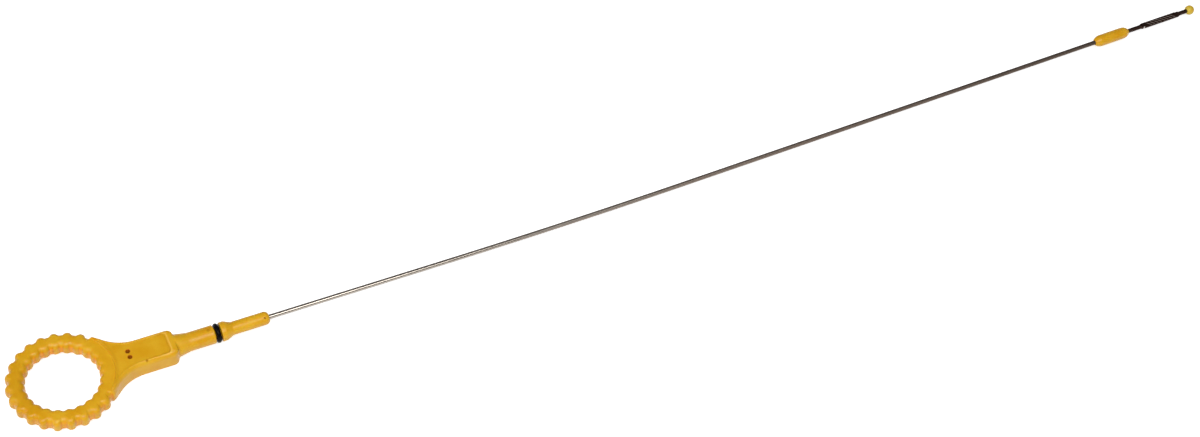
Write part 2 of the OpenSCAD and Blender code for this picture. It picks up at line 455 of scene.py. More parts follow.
@dataclass(frozen=True)
class MouldedNylon:
    """Glass-filled nylon, injection moulded and coloured through.

    Its skin is satin, with a fine spark-eroded grain, faint cloudy flow marks, and a warm glow
    where light soaks in at thin edges. The handle's points store where its tints lie: painted
    shade on the rib flanks, in the inner grooves, in the pin holes, at the seam, pit and ejector
    mark and at the foot of the panel's step, a painted highlight along the step's top edge, and a
    deeper orange on the outer groove floors; see Handle.tint.
    """

    name: str
    tint: Tint
    pale: str = "DDAA1C"
    deep: str = "CC8E08"
    # painted shade on the rib flanks
    flank: str = "D88400"
    groove: str = "E19B06"
    # painted shade on the floors of the inner grooves
    hollow: str = "EC9D00"
    # painted shade in and round the pin holes
    pin: str = "B85C16"
    # painted shade at the seam, pit, ejector mark and foot of the panel's step
    shade_tint: str = "C08808"
    # painted highlight along the top edge of the panel's step
    highlight_tint: str = "EEC25A"
    # painted shade, darker towards the ring's far end
    far_end_shade: str = "CC9200"
    flank_ends: float = 0.5
    flank_share: float = 0.85
    shade_tint_share: float = 0.75
    highlight_tint_share: float = 0.6
    far_end_shade_share: float = 0.65
    far_end_shade_span_m: Pair = (-0.091, -0.099)
    cloud_mm: float = 9.0
    cloud_detail: float = 3.0
    cloud_rough: float = 0.55
    cloud_span: Pair = (0.35, 0.68)
    speck_mm: float = 2.2
    speck_detail: float = 2.0
    speck_span: Pair = (0.55, 0.85)
    speck_share: float = 0.2
    grain_mm: float = 0.5
    grain_detail: float = 2.0
    flow_mm: float = 4.0
    flow_detail: float = 1.0
    flow_share: float = 4.0
    relief_mm: float = 0.06
    relief_strength: float = 0.35
    sheen_span: Pair = (0.3, 0.7)
    roughness: Pair = (0.29, 0.44)
    ior: float = 1.53
    reflection: float = 0.3
    soak: float = 0.25
    soak_mm: float = 1.2
    soak_by_colour: Triple = (1.0, 0.45, 0.1)

    def body(self, tree: Tree, place: Socket, cloud: Socket) -> Socket:
        """Adds the moulding's own colour, clouded and specked.

        Args:
            tree: the node tree.
            place: place on the object.
            cloud: the cloudy noise.

        Returns:
            The colour.
        """
        body = mix(tree, ramp(tree, cloud, self.cloud_span), self.tint.value, self.pale)
        speck = noise(tree, place, self.speck_mm, self.speck_detail)
        share = ramp(tree, speck, self.speck_span, (0.0, self.speck_share))
        return mix(tree, share, body, self.deep)

    def colour(self, tree: Tree, place: Socket, cloud: Socket) -> Socket:
        """Adds painted shade and highlights over the moulding's own colour, and groove-floor
        orange.

        Args:
            tree: the node tree.
            place: place on the object.
            cloud: the cloudy noise.

        Returns:
            The colour.
        """
        body = self.body(tree, place, cloud)
        groove = stored(tree, "groove")
        # painted shade on the rib flanks, rising from a rib's tip towards the groove
        flank = ramp(tree, groove, (0.0, self.flank_ends), (0.0, self.flank_share))
        floor = ramp(tree, groove, (self.flank_ends, 1.0))
        # groove floors: a deeper orange outside, painted shade in the inner grooves
        low = mix(tree, stored(tree, "inside"), self.groove, self.hollow)
        warm = mix(tree, floor, mix(tree, flank, body, self.flank), low)
        colour = mix(tree, stored(tree, "reach"), body, warm)
        edge = stored(tree, "edge")
        # painted shade where edge is below 0
        painted_shade = ramp(tree, edge, (0.0, -1.0), (0.0, self.shade_tint_share))
        # painted highlight where edge is above 0
        painted_highlight = ramp(tree, edge, (0.0, 1.0), (0.0, self.highlight_tint_share))
        # painted shade, darker towards the ring's far end
        far_end_shade_part = ramp(tree, along_x(tree, place), self.far_end_shade_span_m, (0.0, self.far_end_shade_share))
        for share, tint in ((painted_shade, self.shade_tint), (painted_highlight, self.highlight_tint), (far_end_shade_part, self.far_end_shade),
                            (stored(tree, "bored"), self.pin)):
            colour = mix(tree, share, colour, tint)
        return colour

    def material(self) -> bpy.types.Material:
        """Builds the node tree.

        Returns:
            The material.
        """
        material, tree = empty_material(self.name)
        place = object_place(tree)
        cloud = noise(tree, place, self.cloud_mm, self.cloud_detail, self.cloud_rough)
        grain = noise(tree, place, self.grain_mm, self.grain_detail)
        flow = noise(tree, place, self.flow_mm, self.flow_detail)
        relief = scaled(tree, flow, self.flow_share, grain)
        surface(tree,
                {"IOR": self.ior, "Specular IOR Level": self.reflection,
                 "Subsurface Weight": self.soak, "Subsurface Radius": self.soak_by_colour,
                 "Subsurface Scale": self.soak_mm * MM},
                {"Base Color": self.colour(tree, place, cloud),
                 "Roughness": ramp(tree, cloud, self.sheen_span, self.roughness),
                 "Normal": bumped(tree, relief, self.relief_strength, self.relief_mm)})
        return material


@dataclass(frozen=True)
class NitrileRubber:
    """Nitrile rubber, pressed in a mould: near black, with an oily half gloss."""

    name: str = "nitrile_rubber"
    colour: str = "0B0B0C"
    grain_mm: float = 0.4
    grain_detail: float = 3.0
    relief_mm: float = 0.03
    relief_strength: float = 0.4
    roughness: Pair = (0.18, 0.34)
    ior: float = 1.52
    reflection: float = 0.06

    def material(self) -> bpy.types.Material:
        """Builds the node tree.

        Returns:
            The material.
        """
        material, tree = empty_material(self.name)
        grain = noise(tree, object_place(tree), self.grain_mm, self.grain_detail)
        surface(tree,
                {"Base Color": linear(self.colour), "IOR": self.ior,
                 "Specular IOR Level": self.reflection},
                {"Roughness": ramp(tree, grain, result=self.roughness),
                 "Normal": bumped(tree, grain, self.relief_strength, self.relief_mm)})
        return material


@dataclass(frozen=True)
class DrawnSteel:
    """Cold-drawn spring steel wire with long die marks.

    It is bright by the handle, browner and darker towards the tip, and darkest on the blade. The
    wire's points store a painted highlight on its notches and stamped lines; see Wire.build.
    """

    name: str = "drawn_steel"
    bright: str = "B4ABA0"
    brown: str = "8C7D72"
    # darker brown towards the tip, and darkest on the blade
    tip_brown: str = "76685E"
    blade_dark: str = "4A3831"
    # painted highlight on the notches and stamped lines
    cut: str = "F0ECE4"
    edge: str = "2C241E"
    brown_span_m: Pair = (0.10, 0.30)
    tip_brown_span_m: Pair = (0.30, 0.50)
    blade_dark_span_m: Pair = (0.505, 0.54)
    patch_mm: float = 14.0
    patch_detail: float = 4.0
    patch_shift_m: float = 0.12
    mark_mm: float = 0.25
    mark_length: float = 60.0
    mark_detail: float = 3.0
    mark_span: Pair = (0.3, 0.7)
    mark_shade: Pair = (0.82, 1.0)
    relief_mm: float = 0.02
    relief_strength: float = 0.3
    roughness: Pair = (0.14, 0.26)
    brown_roughness: float = 0.3

    def colour(self, tree: Tree, place: Socket, brown: Socket, where: Socket,
               marks: Socket) -> Socket:
        """Adds the steel's colour, changing along it and in die marks, with painted highlights.

        Args:
            tree: the node tree.
            place: place on the object.
            brown: how far the bright steel has turned brown.
            where: length along the wire, shifted to and fro in patches.
            marks: the noise of the die marks.

        Returns:
            The colour.
        """
        # darker brown towards the tip, and darkest on the blade
        tip_brown_part = ramp(tree, where, self.tip_brown_span_m)
        black = ramp(tree, along_x(tree, place), self.blade_dark_span_m)
        colour = mix(tree, brown, self.bright, self.brown)
        colour = mix(tree, tip_brown_part, colour, self.tip_brown)
        colour = mix(tree, black, colour, self.blade_dark)
        shade = ramp(tree, marks, self.mark_span, self.mark_shade)
        colour = mix(tree, 1.0, colour, shade, Blend.MULTIPLY)
        # painted highlight on the notches and stamped lines
        return mix(tree, stored(tree, "cut"), colour, self.cut)

    def material(self) -> bpy.types.Material:
        """Builds the node tree.

        Returns:
            The material.
        """
        material, tree = empty_material(self.name)
        place = object_place(tree)
        patch = noise(tree, place, self.patch_mm, self.patch_detail)
        shift = scaled(tree, patch, self.patch_shift_m, -self.patch_shift_m / 2.0)
        where = scaled(tree, along_x(tree, place), 1.0, shift)
        brown = ramp(tree, where, self.brown_span_m)
        drawn = add(tree, "ShaderNodeMapping", {"Scale": (1.0 / self.mark_length, 1.0, 1.0)},
                    {"Vector": place})
        marks = noise(tree, drawn.outputs["Vector"], self.mark_mm, self.mark_detail)
        gloss = ramp(tree, marks, self.mark_span, self.roughness)
        surface(tree,
                {"Metallic": 1.0, "Specular Tint": linear(self.edge)},
                {"Base Color": self.colour(tree, place, brown, where, marks),
                 "Roughness": scaled(tree, brown, self.brown_roughness, gloss),
                 "Normal": bumped(tree, marks, self.relief_strength, self.relief_mm)})
        return material


# ---------------------------------------------------------------- the handle


@dataclass
class FingerRing:
    """The finger ring, with ribs laid over its round edges outside and inside."""

    centre_x: float = -79.6
    rim_r: float = 26.95
    rim_rib: float = 1.45
    rim_rod: float = 2.2
    hole_r: float = 17.5
    hole_rib: float = 0.8
    hole_rod: float = 2.1
    thick: float = 8.3
    edge_r: float = 3.0
    ribs: int = 24
    foot_angle: float = 42.0
    foot_fade: float = 1.0
    soft: float = 0.7
    least_flat: float = 0.02
    around: int = 1152
    corner_points: int = 24
    face_points: int = 14

    def rib_offset(self, angle: Array) -> Array:
        """Angle from the middle of the nearest rib, in radians."""
        pitch = TURN / self.ribs
        return (angle / pitch % 1.0 - 0.5) * pitch

    def from_web(self, angle: Array) -> Array:
        """Angle from the middle of the web, in degrees and without a sign."""
        return np.degrees(np.abs((angle + math.pi) % TURN - math.pi))

    def lobe(self, angle: Array, tip_r: float, rod: float, way: float) -> Array:
        """Radius of a round rib whose tip is at tip_r and points outwards or inwards.

        The rib is part of a round rod, so its reach is the middle of that rod and, along each
        angle, the height of the circle above it.

        Args:
            angle: angles round the ring, zero towards the wire.
            tip_r: radius of the rib's tip.
            rod: radius of the rod.
            way: 1 for a rib that points outwards, -1 for one that points inwards.

        Returns:
            The radius at each angle, far behind the tip where the rib isn't met.
        """
        middle = tip_r - way * rod
        off = self.rib_offset(angle)
        under = rod**2 - (middle * np.sin(off))**2
        met = middle * np.cos(off) + way * np.sqrt(np.clip(under, 0.0, None))
        return np.where(under > 0.0, met, tip_r - way * 3.0 * rod)

    def outer(self, angle: Array) -> Array:
        """Radius of the rim: the greater of the groove's floor and the ribs, plain by the web.

        Args:
            angle: angles round the ring, zero towards the wire.

        Returns:
            The radius at each angle.
        """
        floor = np.full_like(angle, self.rim_r - self.rim_rib)
        ribbed = -smooth_min(-floor, -self.lobe(angle, self.rim_r, self.rim_rod, 1.0), self.soft)
        plain = smooth_step((self.foot_angle - self.from_web(angle)) / self.foot_fade + 0.5)
        return ribbed + (self.rim_r - ribbed) * plain

    def inner(self, angle: Array) -> Array:
        """Radius of the hole: the lesser of the groove's floor and the ribs."""
        floor = np.full_like(angle, self.hole_r + self.hole_rib)
        return smooth_min(floor, self.lobe(angle, self.hole_r, self.hole_rod, -1.0), self.soft)

    def shell(self) -> bpy.types.Object:
        """Builds the ring.

        At each angle the section is a rectangle with round corners between the radius of the hole
        and that of the rim, so the ribs run on over the round edges. A corner is a quarter circle
        of a fixed radius, and each flat is a straight row of points between two corners. Nought
        times a row is added where a value has to be spread over that row.

        Returns:
            The ring as a closed object.
        """
        angle = np.linspace(0.0, TURN, self.around, endpoint=False)[:, None]
        in_r = self.inner(angle) + self.edge_r
        out_r = np.maximum(self.outer(angle) - self.edge_r, in_r + self.least_flat)
        level = self.thick / 2.0 - self.edge_r
        turn = np.linspace(0.0, 0.5 * math.pi, self.corner_points)[None, :]
        step = np.linspace(0.0, 1.0, self.face_points + 2)[None, 1:-1]
        cos, sin = self.edge_r * np.cos(turn), self.edge_r * np.sin(turn)
        flat_up = level + self.edge_r + 0.0 * step * out_r
        wall = level * (1.0 - 2.0 * step) + 0.0 * out_r
        radius = np.concatenate([
            out_r + cos, out_r + (in_r - out_r) * step, in_r - sin,
            in_r - self.edge_r + 0.0 * step, in_r - cos,
            in_r + (out_r - in_r) * step, out_r + sin, out_r + self.edge_r + 0.0 * step,
        ], axis=1)
        height = np.concatenate([
            level + sin + 0.0 * out_r, flat_up, level + cos + 0.0 * out_r,
            wall, -level - sin + 0.0 * out_r,
            -flat_up, -level - cos + 0.0 * out_r, -wall,
        ], axis=1)
        points = np.stack([self.centre_x + radius * np.cos(angle), radius * np.sin(angle),
                           height], axis=-1)
        section = points.shape[1]
        faces = wall_faces(self.around + 1, section) % (self.around * section)
        return mesh_object("ring_shell", points, faces[:, ::-1])


@dataclass
class Web:
    """The thick web and block between the ring and the neck, with its sunken panel."""

    reach: float = 56.0
    width: float = 15.7
    thick: float = 11.8
    edge_r: float = 3.0
    corner_r: float = 3.2
    web_angle: float = 48.0
    foot_angle: float = 42.0
    flare_r: float = 20.0
    foot_r: float = 26.2
    inner_r: float = 25.15
    end_share: float = 0.35
    corner_share: float = 0.6
    panel_depth: float = 0.75
    panel_side: float = 1.6
    panel_end: float = 3.75
    panel_corner: float = 2.0
    panel_slope: float = 0.4
    foot_round: float = 2.2
    foot_points: int = 8
    flare_points: int = 48
    corner_points: int = 16
    edge_points: int = 12
    bite_points: int = 192

    def side(self, inward: float, end_in: float, corner: float) -> Array:
        """Half the outline seen from above: off the ring, round the hollow, round the corner.

        It leaves the ring round a curve drawn by two lines and their meeting point, then follows
        an arc that touches both the line off the ring and the block's side.

        Args:
            inward: how far in from the side.
            end_in: how far in from the end face.
            corner: rounding of the end corner.

        Returns:
            Points in the plane, from the ring to the end face.
        """
        line, foot = math.radians(self.web_angle), math.radians(self.foot_angle)
        centre_y = self.width / 2.0 + self.flare_r
        centre_x = (self.foot_r + self.flare_r - math.sin(line) * centre_y) / math.cos(line)
        out = np.array([math.cos(foot), math.sin(foot)])
        tip = (self.foot_r - inward) / math.cos(line - foot) * out
        step = np.linspace(0.0, 1.0, self.foot_points)[:, None]
        start = (tip - (1.0 - step)**2 * self.foot_round * out
                 + step**2 * self.foot_round * np.array([math.sin(line), -math.cos(line)]))
        turn = np.linspace(math.pi + line, 1.5 * math.pi, self.flare_points)
        radius = self.flare_r + inward
        hollow = np.column_stack([centre_x + radius * np.cos(turn),
                                  centre_y + radius * np.sin(turn)])
        turn = np.linspace(0.5 * math.pi, 0.0, self.corner_points)
        end = np.stack([self.reach - end_in - corner * (1.0 - np.cos(turn)),
                        self.width / 2.0 - inward - corner * (1.0 - np.sin(turn))], axis=-1)
        return np.concatenate([start, hollow, end])

    def loop(self, inward: float, end_in: float, corner: float, height: float, x: float) -> Array:
        """The whole outline at one height, with its mirror image on the other side.

        Args:
            inward: how far in from the side.
            end_in: how far in from the end face.
            corner: rounding of the end corner.
            height: the height.
            x: place of the ring's centre.

        Returns:
            Points of one closed loop, three numbers each.
        """
        half = self.side(inward, end_in, corner)
        flat = np.concatenate([half, half[::-1] * [1.0, -1.0]])
        return np.column_stack([flat[:, 0] + x, flat[:, 1], np.full(len(flat), height)])

    def shell(self, x: float) -> bpy.types.Object:
        """Builds the web with its edges rounded over, then cuts its panel and its round end.

        Args:
            x: place of the ring's centre.

        Returns:
            The web as a closed object.
        """
        angle = np.linspace(0.0, 0.5 * math.pi, self.edge_points)
        inward = self.edge_r * (1.0 - np.cos(angle))
        height = self.thick / 2.0 - self.edge_r * (1.0 - np.sin(angle))
        levels = [(u, -z) for u, z in zip(inward[::-1], height[::-1])]
        levels += list(zip(inward, height))
        loops = np.stack([
            self.loop(u, self.end_share * u, self.corner_r - self.corner_share * u, z, x)
            for u, z in levels
        ])
        web = lofted("web_shell", loops[:, ::-1])
        bite = round_tool("bite", (x, 0.0), (-self.thick, self.thick), self.inner_r,
                          self.bite_points)
        cut(web, [self.panel_tool(x), bite])
        return web

    def panel_tool(self, x: float) -> bpy.types.Object:
        """The tool that sinks the panel, with walls that lean outwards on their way up.

        Args:
            x: place of the ring's centre.

        Returns:
            The tool, which stands out above the web.
        """
        top, lean = self.thick / 2.0, self.panel_slope / 2.0
        steps = [(lean, top - self.panel_depth), (-lean, top), (-lean, self.thick)]
        loops = np.stack([self.loop(self.panel_side + u, self.panel_end + u,
                                    self.panel_corner - u, z, x) for u, z in steps])
        return lofted("panel", loops[:, ::-1])


def round_tool(name: str, at: Pair, heights: Pair, radius: float,
               around: int = 48) -> bpy.types.Object:
    """An upright round bar that cuts a hole.

    Args:
        name: name of the tool.
        at: place of its axis.
        heights: its lower and upper end.
        radius: its radius.
        around: number of points round it.

    Returns:
        The tool.
    """
    angle = np.linspace(0.0, TURN, around, endpoint=False)
    ring = np.column_stack([at[0] + radius * np.cos(angle), at[1] + radius * np.sin(angle)])
    return lofted(name, np.stack([np.column_stack([ring, np.full(around, z)]) for z in heights]))


@dataclass
class Stem:
    """Neck, shank, seal groove, collar, shoulder and nose, turned about the axis."""

    block_x: float = -23.6
    neck_root: float = 2.0
    neck_r: float = 5.8
    shank_x: float = -17.3
    shank_r: float = 4.7
    groove_x: float = -4.5
    groove_r: float = 2.575
    collar_x: float = -1.2
    collar_r: float = 4.85
    shoulder_x: float = 1.2
    nose_x: float = 4.6
    nose_r: float = 3.35
    nose_end_x: float = 23.7
    nose_edge: float = 2.2
    edge_points: int = 16
    around: int = 128

    def outline(self) -> Array:
        """The stem's steps one after another, with the nose's end on a quarter circle.

        Returns:
            Distances along the axis and from it.
        """
        turn = np.linspace(0.5 * math.pi, 0.0, self.edge_points)
        dome = np.column_stack([
            self.nose_end_x - self.nose_edge * (1.0 - np.cos(turn)),
            self.nose_r - self.nose_edge * (1.0 - np.sin(turn)),
        ])
        foot = self.block_x - self.neck_root
        start = np.array([
            [foot, AXIS_GAP], [foot, self.neck_r], [self.block_x, self.neck_r],
            [self.shank_x, self.shank_r], [self.groove_x, self.shank_r],
            [self.groove_x, self.groove_r], [self.collar_x, self.groove_r],
            [self.collar_x, self.collar_r], [self.shoulder_x, self.collar_r],
            [self.nose_x, self.nose_r],
        ])
        return np.concatenate([start, dome, [[self.nose_end_x, AXIS_GAP]]])

    def shell(self) -> bpy.types.Object:
        """Builds the stem as a closed object."""
        return turned("stem_shell", self.outline(), self.around)


@dataclass(frozen=True)
class TintPlaces:
    """Where the handle's tints start and over what distance they fade.

    Lengths are in millimetres, the seam's until and fade are in degrees round the ring, and the
    rib's share and fade are parts of half the distance between two ribs.
    """

    rib_share: float = 0.42
    rib_fade: float = 0.4
    flat_from_z: float = 1.9
    flat_fade: float = 1.7
    rim_depth: float = 2.6
    hole_depth: float = 1.4
    depth_fade: float = 0.8
    pin_wall: float = 0.02
    pin_rim: float = 0.35
    pin_rim_tint: float = 0.4
    top_from_z: float = 2.5
    # the seam's painted shade line
    seam_in: float = 0.9
    seam_half: float = 0.7
    seam_until: float = 26.0
    seam_fade: float = 14.0
    seam_tint: float = 0.55
    dot_fade: float = 0.35
    panel_from_z: float = 4.4
    panel_from_pin: float = 8.0
    line_from_pin: float = 12.0
    line_fade: float = 6.0
    # how far in the panel's painted shade line lies, and how far out its painted highlight
    shade_line_in: float = 0.45
    highlight_line_out: float = 0.4
    line_half: float = 0.4


@dataclass
class Handle:
    """The yellow moulding: ring, web and stem grown into one, with the mould's pin holes."""

    ring: FingerRing = field(default_factory=FingerRing)
    web: Web = field(default_factory=Web)
    stem: Stem = field(default_factory=Stem)
    tints: TintPlaces = field(default_factory=TintPlaces)
    voxel: float = 0.31
    softening: float = 0.5
    soft_rounds: int = 4
    pin_x: float = -46.7
    pin_y: float = 1.75
    pin_r: float = 1.1
    nose_pin_x: float = 21.0
    nose_pin_r: float = 0.45
    mark_x: float = -7.1
    mark_r: float = 0.75
    mark_depth: float = 0.35
    pit: Pair = (-39.9, -6.7)
    pit_r: float = 0.45
    pit_floor_z: float = 4.6
    tool_top_z: float = 8.0
    small_around: int = 24
    sharp_angle: float = 38.0

    def body(self) -> bpy.types.Object:
        """Grows the three shells into one skin, and softens it as a mould's radii do.

        Returns:
            The handle without its marks.
        """
        ring_x = self.ring.centre_x
        shells = [self.ring.shell(), self.web.shell(ring_x), self.stem.shell()]
        obj = joined("handle_moulding", shells)
        remesh = obj.modifiers.new("grow", "REMESH")
        remesh.mode = "VOXEL"
        remesh.voxel_size = self.voxel * MM
        soften = obj.modifiers.new("soften", "SMOOTH")
        soften.factor = self.softening
        soften.iterations = self.soft_rounds
        finished_mesh(obj)
        return obj

    def marks(self) -> list[bpy.types.Object]:
        """Makes the tools that leave the pin holes, the ejector's mark and a small pit.

        Returns:
            The tools.
        """
        top, tools = self.tool_top_z, []
        for y in (-self.pin_y, self.pin_y):
            tools.append(round_tool("pin", (self.pin_x, y), (0.0, top), self.pin_r))
            tools.append(round_tool("nose_pin", (self.nose_pin_x, y), (0.0, top),
                                    self.nose_pin_r, self.small_around))
        mark_floor = self.stem.shank_r - self.mark_depth
        tools.append(round_tool("ejector", (self.mark_x, 0.0), (mark_floor, top), self.mark_r))
        tools.append(round_tool("pit", self.pit, (self.pit_floor_z, top), self.pit_r,
                                self.small_around))
        return tools

    def groove_reach(self, point: Array, angle: Array, radius: Array) -> Array:
        """How far the tint of a groove counts at each point.

        It is full at the middle of the ring's height and fades towards the flat sides and into
        the ring. There is none on the plain rim by the web, and none on the stem.

        Args:
            point: the points.
            angle: their angles round the ring.
            radius: their distances from the ring's axis.

        Returns:
            From 0 to 1 at each point.
        """
        ring, at = self.ring, self.tints
        level = 1.0 - smooth_step((np.abs(point[:, 2]) - at.flat_from_z) / at.flat_fade)
        rim = smooth_step((radius - ring.rim_r + ring.rim_rib + at.rim_depth) / at.depth_fade)
        rim = np.where(ring.from_web(angle) < ring.foot_angle, 0.0, rim)
        hole = 1.0 - smooth_step((radius - ring.hole_r - ring.hole_rib - at.hole_depth)
                                 / at.depth_fade)
        reach = level * np.maximum(rim, hole)
        return np.where(point[:, 0] > self.web.reach + ring.centre_x, 0.0, reach)

    def bored(self, point: Array) -> Array:
        """Painted shade in a pin hole: 1 on its walls and less on a narrow rim round it.

        Args:
            point: the points.

        Returns:
            From 0 to 1 at each point.
        """
        at = self.tints
        gap = np.hypot(point[:, 0] - self.pin_x, np.abs(point[:, 1]) - self.pin_y)
        rim = at.pin_rim_tint * (1.0 - smooth_step((gap - self.pin_r) / at.pin_rim))
        return np.where(gap < self.pin_r + at.pin_wall, 1.0, rim) * (point[:, 2] > 0.0)

    def painted_shade(self, point: Array, angle: Array, radius: Array) -> Array:
        """How much shade is painted on the top where web and ring meet, and in pit and mark.

        The seam is a bell curve over the distance from the ring's rim, which ends beside the web.

        Args:
            point: the points.
            angle: their angles round the ring.
            radius: their distances from the ring's axis.

        Returns:
            From 0, no painted shade, upwards.
        """
        ring, at = self.ring, self.tints
        seam = np.exp(-((radius - ring.rim_r + at.seam_in) / at.seam_half)**2)
        aside = smooth_step((ring.from_web(angle) - at.seam_until) / at.seam_fade)
        dark = at.seam_tint * seam * (1.0 - aside)
        for (x, y), size in ((self.pit, self.pit_r), ((self.mark_x, 0.0), self.mark_r)):
            gap = np.hypot(point[:, 0] - x, point[:, 1] - y)
            dark += 1.0 - smooth_step((gap - size) / at.dot_fade)
        return dark * (point[:, 2] > at.top_from_z)

    def panel_edge(self, point: Array) -> Array:
        """How light or dark each point is beside the end of the panel.

        A line of painted shade lies at the foot of the step, and a painted highlight along its top
        edge: each is a bell curve over the distance to the panel's outline, moved in or out.

        Args:
            point: the points.

        Returns:
            From -1, painted shade, to 1, a painted highlight.
        """
        web, at, tone = self.web, self.tints, np.zeros(len(point))
        near = np.flatnonzero((point[:, 2] > at.panel_from_z)
                              & (point[:, 0] > self.pin_x + at.panel_from_pin)
                              & (point[:, 0] < self.stem.block_x))
        fade = smooth_step((point[near, 0] - self.pin_x - at.line_from_pin) / at.line_fade)
        # painted shade line at the step's foot, painted highlight along its top edge
        for inward, sign in ((at.shade_line_in, -1.0), (-at.highlight_line_out, 1.0)):
            line = web.loop(web.panel_side + inward, web.panel_end + inward,
                            web.panel_corner - inward, 0.0, self.ring.centre_x)[:, :2]
            first, way = line[:-1], np.diff(line, axis=0)
            gap = point[near, None, :2] - first
            length = np.maximum((way**2).sum(-1), np.finfo(float).tiny)
            share = np.clip((gap * way).sum(-1) / length, 0.0, 1.0)
            far = np.hypot(*np.moveaxis(gap - share[..., None] * way, -1, 0)).min(axis=1)
            tone[near] += sign * fade * np.exp(-(far / at.line_half)**2)
        return tone

    def tint(self, mesh: bpy.types.Mesh) -> None:
        """Stores at each point what the nylon's tints read.

        groove is 0 on the tip of a rib and 1 between two ribs, reach is how far that counts, and
        inside is 1 on the inner half of the ring: they place painted shade on the rib flanks and
        in the inner grooves, and a deeper orange on the outer groove floors. bored is 1 in a pin
        hole, where shade is painted. edge runs from -1, painted shade, to 1, a painted highlight.

        Args:
            mesh: the handle's mesh.
        """
        point, ring, at = points_of(mesh), self.ring, self.tints
        from_centre = point[:, 0] - ring.centre_x
        angle = np.arctan2(point[:, 1], from_centre) % TURN
        radius = np.hypot(point[:, 1], from_centre)
        off = np.abs(ring.rib_offset(angle)) / (math.pi / ring.ribs)
        inside = radius < (ring.rim_r + ring.hole_r) / 2.0
        store(mesh, "groove", smooth_step((off - at.rib_share) / at.rib_fade))
        store(mesh, "reach", self.groove_reach(point, angle, radius))
        store(mesh, "inside", inside.astype(float))
        # bored: painted shade in the pin holes
        store(mesh, "bored", self.bored(point))
        # edge: painted shade and highlight at the panel's step, less painted shade at seam, pit
        # and mark
        store(mesh, "edge", self.panel_edge(point) - self.painted_shade(point, angle, radius))

    def build(self, material: bpy.types.Material) -> bpy.types.Object:
        """Builds the handle and dresses it.

        Args:
            material: the nylon.

        Returns:
            The handle.
        """
        obj = self.body()
        cut(obj, self.marks())
        obj.data.shade_smooth()
        sharpen(obj, self.sharp_angle)
        self.tint(obj.data)
        dress(obj, material, "handle")
        return obj


# ---------------------------------------------------------------- the seal


@dataclass
class SealRing:
    """The rubber ring in its groove."""

    middle_x: float = -2.85
    outside_r: float = 4.975
    cord: float = 2.4
    around: int = 160
    section: int = 48

    def build(self, material: bpy.types.Material) -> bpy.types.Object:
        """Builds the rubber ring: a circle carried round the axis.

        Args:
            material: the rubber.

        Returns:
            The ring.
        """
        turn = np.linspace(0.0, TURN, self.around, endpoint=False)[:, None]
        ray = np.linspace(0.0, TURN, self.section, endpoint=False)[None, :]
        cord_r = self.cord / 2.0
        radius = self.outside_r - cord_r + cord_r * np.cos(ray)
        points = np.stack([self.middle_x + cord_r * np.sin(ray) + 0.0 * turn,
                           radius * np.cos(turn), radius * np.sin(turn)], axis=-1)
        faces = wall_faces(self.around + 1, self.section) % (self.around * self.section)
        obj = mesh_object("seal_rubber_ring", points, faces)
        dress(obj, material, "seal_ring")
        return obj


# ---------------------------------------------------------------- the wire and what is on it


@dataclass
class WireRoute:
    """The line of the wire: straight from the nose, one gentle bow, and straight to the tip."""

    nose_end_x: float = 23.7
    bow_start: float = 89.7
    bow_length: float = 140.0
    bow_angle: float = math.radians(1.9)

    def turn(self, along: Array) -> Array:
        """Direction of the wire in the plane, in radians, at lengths from the nose's end."""
        return self.bow_angle * np.clip((along - self.bow_start) / self.bow_length, 0.0, 1.0)

    def centre(self, along: Array) -> Array:
        """Points on the wire's line: a line, an arc of radius length by angle, and a line.

        Args:
            along: lengths from the nose's end.

        Returns:
            Points in the plane, two numbers each, in an array that ends as along does.
        """
        turn = self.turn(along)
        radius = self.bow_length / self.bow_angle
        after = np.maximum(along - self.bow_start - self.bow_length, 0.0)
        x = self.nose_end_x + np.minimum(along, self.bow_start) + radius * np.sin(turn)
        x = x + after * math.cos(self.bow_angle)
        y = radius * (1.0 - np.cos(turn)) + after * math.sin(self.bow_angle)
        return np.stack([x, y], axis=-1)

    def carry(self, points: Array) -> Array:
        """Bends points on to the wire's line.

        A point's side is laid off square to the line, from the line's own point at its length.

        Args:
            points: length along the wire, side and height of each point.

        Returns:
            The points in the part's frame.
        """
        along, side, height = points[..., 0], points[..., 1], points[..., 2]
        turn = self.turn(along)
        centre = self.centre(along)
        return np.stack([centre[..., 0] - side * np.sin(turn),
                         centre[..., 1] + side * np.cos(turn), height], axis=-1)


